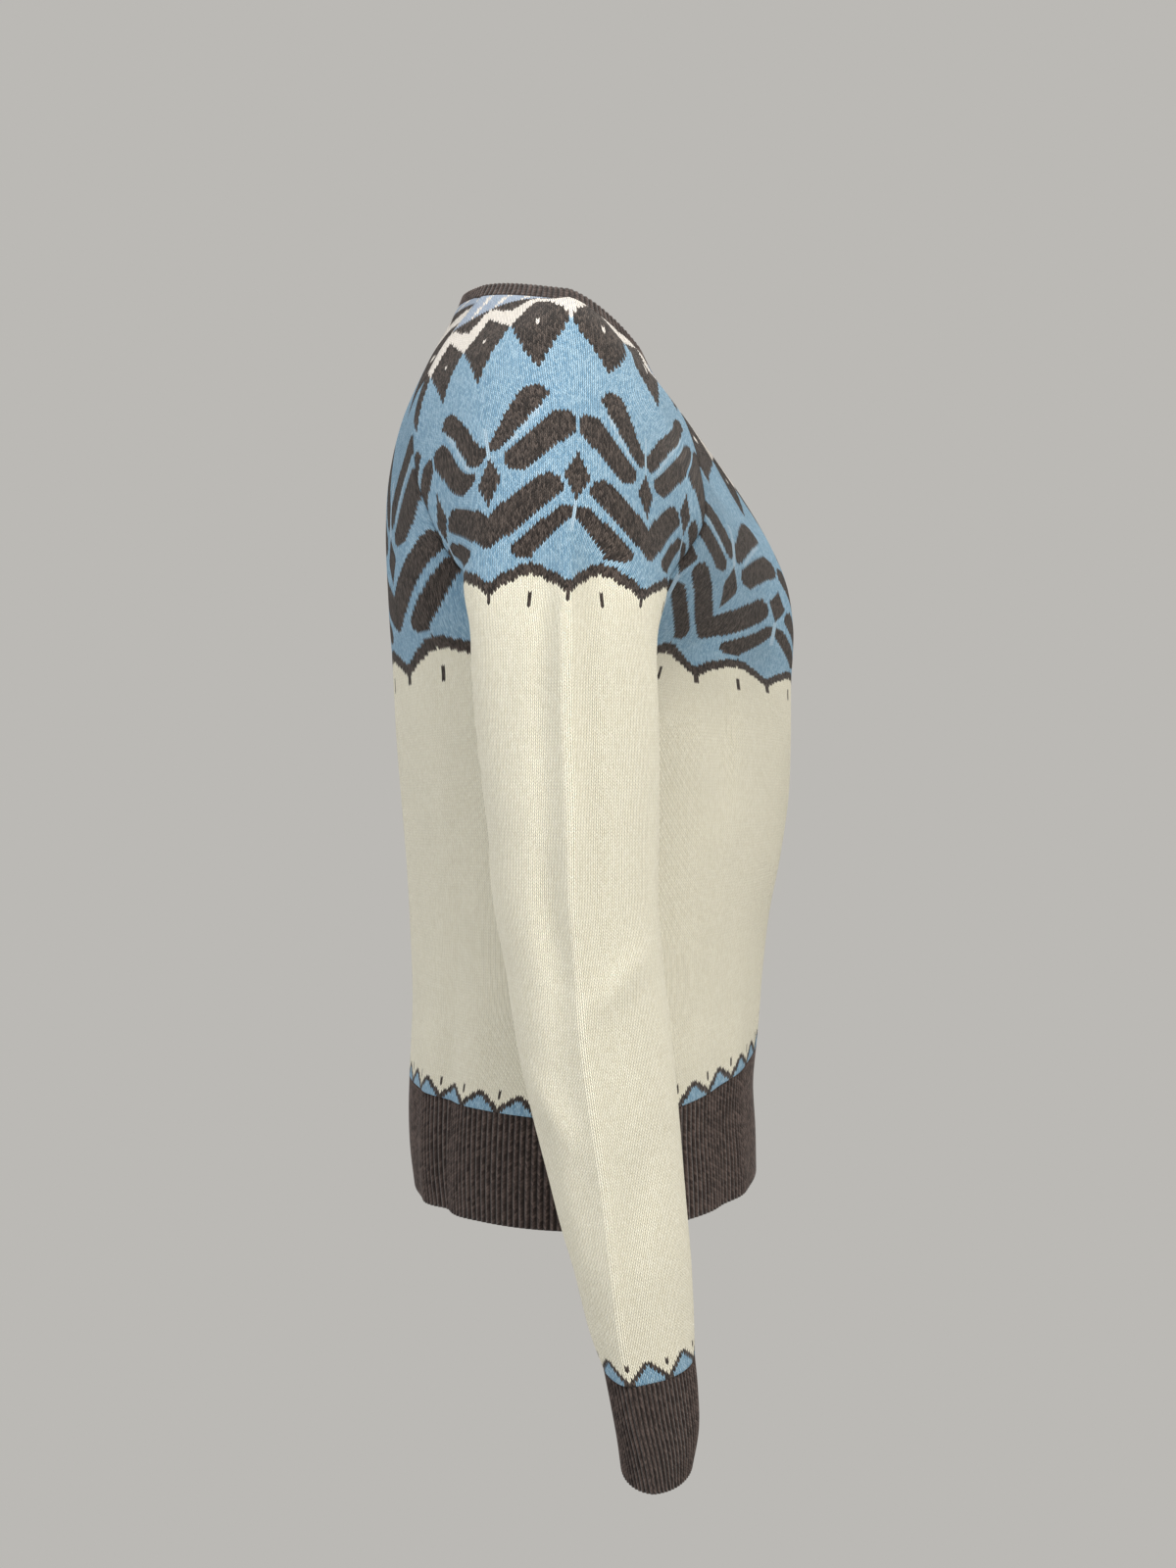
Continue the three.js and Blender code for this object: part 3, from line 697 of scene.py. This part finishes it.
# The pressed ridge is a raised band with a valley on each side, and a sharper edge lower down.
soft_ridge = fade(-170, -240, height) * (1 - 0.75 * fade(-300, -560, height))
sharp_ridge = fade(-400, -520, height) * fade(-668, -640, height)
band_height, valley_depth, edge_height = 3.4, 2.4, 1.7
relief = soft_ridge * (band_height * np.exp(-(across / 6.2)**2)
                       - valley_depth * np.exp(-((np.abs(across) - 15) / 7.5)**2))
relief += sharp_ridge * edge_height * np.exp(-np.abs(across) / 3.2)
relief += creases(across, height, SLEEVE_CREASES)
sleeve_shaped = worked(sleeve_grid, across, relief)

sleeve_knit = stockinette("sleeve_knit", SLEEVE_PEAK_WALES, 1.0)
sleeve_lining = stockinette("sleeve_lining", SLEEVE_PEAK_WALES, 1.0, inside=True)
SLEEVE_CUT = {"flat": (0.34, 0.69), "area": 0.168}
sleeve_right = knit_mesh("sleeve_right_knit", sleeve_shaped, counts, border)
dress(sleeve_right, sleeve_knit, sleeve_lining, "sleeve_right", "stockinette", **SLEEVE_CUT)
sleeve_left = knit_mesh("sleeve_left_knit", mirrored(sleeve_shaped), counts[:, ::-1],
                        border[:, ::-1])
dress(sleeve_left, sleeve_knit, sleeve_lining, "sleeve_left", "stockinette", **SLEEVE_CUT)


# Hem rib: a deep 1x1 rib in grey-brown marled wool, knitted on below the body so that it draws
# in.
# Its raised wales catch the light, and painted shade adds to this: light on the raised wales,
# dark on the purl wales between them.
HEM_RIBS = 228
COLUMNS_PER_RIB = 6
HEM_ROWS = 35
HEM_RIB_HEIGHT = 1.0
RIB_FINISH = {"smoothing": 0.1, "bump": 0.6, "depth": 0.0008, "sheen": 0.2}

hem_table = {
    "side": [(163, 3, -533), (168, 3, -554), (172.5, 3, -576), (176, 3, -598)],
    "front": [(0, -114, -498), (0, -111.5, -527), (0, -113, -558), (0, -113.5, -586)],
    "back": [(0, 120.5, -523), (0, 121, -547), (0, 120, -571), (0, 117, -595)],
    "dip": [(0, 0, 8), (0, 0, 7), (0, 0, 5), (0, 0, 3)],
}


def rib_grid(ring_rows, ribs, height):
    """Closed rows re-spaced so that ribs stand evenly round them, with the ribs raised."""
    count = ribs * COLUMNS_PER_RIB
    first = np.vstack([ring_rows[0], ring_rows[0][:1]])
    length = np.cumsum(np.pad(np.linalg.norm(np.diff(first, axis=0), axis=1), (1, 0)))
    place = np.interp(np.arange(count) / count * length[-1], length, np.arange(len(first)))
    i = place.astype(int)
    f = (place - i)[None, :, None]
    grid = ring_rows[:, i] * (1 - f) + ring_rows[:, (i + 1) % ring_rows.shape[1]] * f
    phase = (np.arange(count) / COLUMNS_PER_RIB) % 1.0
    swell = (0.5 - 0.5 * np.cos(2 * math.pi * phase))**0.7
    return grid + outward(grid, closed=True) * ((swell - 1) * height)[None, :, None]


def rib_wool(name, inside=False):
    """Grey-brown marled wool in 1x1 rib."""
    material = bpy.data.materials.new(name)
    material.use_nodes = True
    tree = material.node_tree
    shader = tree.nodes["Principled BSDF"]
    rib, course = axis_of(tree, "stitches")
    in_rib = abs(rib.part() - 0.5)
    slanted = course - (1 - in_rib * 2) * 0.9
    leg = math.floor(rib * 2)
    row = math.floor(slanted)
    cell = leg.node("ShaderNodeCombineXYZ", {}, {0: leg, 1: row})
    speck = cell.node("ShaderNodeTexWhiteNoise", {"noise_dimensions": "2D"}, {"Vector": cell})
    place = cell.node("ShaderNodeTexCoord", {}, {}, output="Object")
    fibre = place.node("ShaderNodeTexNoise", {"noise_dimensions": "3D"},
                       {"Vector": place, "Scale": 900.0, "Detail": 2.0})
    marl = (speck * 0.55 + fibre * 0.4 + 0.02).within()**1.3
    wool = marl.colour(dye(30, 22, 20), dye(96, 82, 77))
    raised = (1 - in_rib * 2.2).most(0.0)**0.6
    along = (slanted.part() - 0.5) * 2
    relief = raised * (1 - along * along * 0.4)
    # Painted shade: the raised wales lighter and the purl wales between them darker; the inside
    # face gets a flatter painted shade.
    shade = relief + 0.2
    if inside:
        shade = relief * 0.3 + 0.5
    paint_shade_and_finish(shader, wool, shade, relief, fibre, RIB_FINISH)
    return material


def rib_band(name, ring_rows, ribs, height, node, courses_deep, flat):
    """A closed ribbed band as its own piece."""
    grid = rib_grid(ring_rows, ribs, height)
    rows, columns = grid.shape[:2]
    across = np.arange(columns + 1) / COLUMNS_PER_RIB
    deep = np.linspace(0, courses_deep, rows)
    counts = np.stack(np.broadcast_arrays(across[None], deep[:, None]), axis=-1)
    piece = knit_mesh(name, grid, counts, counts, closed=True)
    dress(piece, rib_outside, rib_inside, node, "rib", flat=flat, area=None)


rib_outside = rib_wool("rib_wool")
rib_inside = rib_wool("rib_lining", inside=True)
hem_front, hem_back = body_courses(hem_table, np.linspace(0, 1, HEM_ROWS))
hem_rows = np.concatenate([hem_front[:, :-1], hem_back[:, :-1]], axis=1)
hem_rows += outward(hem_rows, closed=True) * drape(hem_rows)[..., None]
rib_band("hem_rib_knit", hem_rows, HEM_RIBS, height=HEM_RIB_HEIGHT, node="hem_rib",
         courses_deep=34.0, flat=(0.97, 0.078))


# Cuffs: the same rib in a finer count, knitted on at each wrist.
# They hold the sleeve close and end in a plain cast-off edge.
CUFF_RIBS = 64
CUFF_ROWS = 36
FINE_RIB_HEIGHT = 0.8

cuff_table = {
    "inner": [(183, -32, -654), (184, -35, -675), (185, -38, -696), (186, -40, -716)],
    "ridge": [(253, -24, -670), (253, -28, -691), (252, -33, -712), (250, -37, -732)],
    "reach": [(0, -62, -9), (0, -64, -13), (0, -64.5, -16.5), (0, -61, -19)],
}
cuff_rows = sleeve_courses(cuff_table, np.linspace(0, 1, CUFF_ROWS + 1))
for side, rows in (("right", cuff_rows), ("left", mirrored(cuff_rows))):
    rib_band(f"cuff_{side}_knit", rows[:, :-1], CUFF_RIBS, height=FINE_RIB_HEIGHT,
             node=f"cuff_{side}", courses_deep=28.0, flat=(0.2, 0.064))


# Neckband: a narrow rib picked up round the neckline. It stands up a little and leans in
# towards the neck.
NECK_RIBS = 160
NECK_ROWS = 9
NECK_RISE = 9

neck_ring = np.concatenate([front_grid[0, :-1], mirrored(sleeve_grid)[0, :-1],
                            back_grid[0, :-1], sleeve_grid[0, :-1]])
inward = (np.array([0.0, 12.0, 0.0]) - neck_ring) * (1, 1, 0)
inward /= np.linalg.norm(inward, axis=1, keepdims=True)
lean = 3 + 3.5 * np.abs(inward[:, :1])
band_top = neck_ring + inward * lean + (0, 0, NECK_RISE)
fall = np.linspace(0, 1, NECK_ROWS)[:, None, None]
neck_rows = band_top[None] * (1 - fall) + neck_ring[None] * fall
rib_band("neckband_knit", neck_rows, NECK_RIBS, height=FINE_RIB_HEIGHT, node="neckband",
         courses_deep=5.0, flat=(0.57, 0.0107))


# The room: a plain pale floor and soft studio light, with the camera at the wearer's right.
FLOOR_RADIUS = 1.35
FLOOR_HEIGHT = -1.38
FLOOR_CORNERS = 96
floor_mesh = bpy.data.meshes.new("floor")
ring = [(FLOOR_RADIUS * math.cos(a), FLOOR_RADIUS * math.sin(a), FLOOR_HEIGHT)
        for a in np.linspace(0, 2 * math.pi, FLOOR_CORNERS, endpoint=False)]
floor_mesh.from_pydata(ring, [], [tuple(range(FLOOR_CORNERS))])
floor = bpy.data.objects.new("floor", floor_mesh)
bpy.context.scene.collection.objects.link(floor)
floor_finish = bpy.data.materials.new("floor_paint")
floor_finish.use_nodes = True
floor_finish.node_tree.nodes["Principled BSDF"].inputs["Base Color"].default_value = (
    dye(172, 170, 166))
floor_mesh.materials.append(floor_finish)

world = bpy.data.worlds.new("room")
world.use_nodes = True
world.node_tree.nodes["Background"].inputs["Color"].default_value = dye(187, 185, 181)
world.node_tree.nodes["Background"].inputs["Strength"].default_value = 1.0
bpy.context.scene.world = world


def softbox(name, location, target, size, watts, colour):
    """A large soft lamp aimed at a point."""
    lamp = bpy.data.lights.new(name, "AREA")
    lamp.size = size
    lamp.energy = watts
    lamp.color = colour
    stand = bpy.data.objects.new(name, lamp)
    bpy.context.scene.collection.objects.link(stand)
    stand.location = location
    away = np.array(location) - np.array(target)
    tilt = math.atan2(math.hypot(away[0], away[1]), away[2])
    stand.rotation_euler = (tilt, 0, math.atan2(away[1], away[0]) + math.pi / 2)


softbox("key", (-2.0, -1.65, 0.9), (0, 0, -0.35), 1.5, 83, (1.0, 0.98, 0.93))
softbox("fill", (-1.35, 2.3, 0.3), (0, 0, -0.35), 1.8, 51, (0.98, 0.99, 1.0))
softbox("top", (0.2, 0.0, 2.0), (0, 0, -0.3), 1.5, 38, (1.0, 0.99, 0.96))

camera = bpy.data.objects.new("camera", bpy.data.cameras.new("camera"))
bpy.context.scene.collection.objects.link(camera)
camera.data.lens = 50.625
camera.data.sensor_width = 36
camera.location = (-1.5, 0, -0.329)
camera.rotation_euler = (math.pi / 2, 0, -math.pi / 2)
bpy.context.scene.camera = camera
bpy.context.scene.view_settings.view_transform = "Standard"
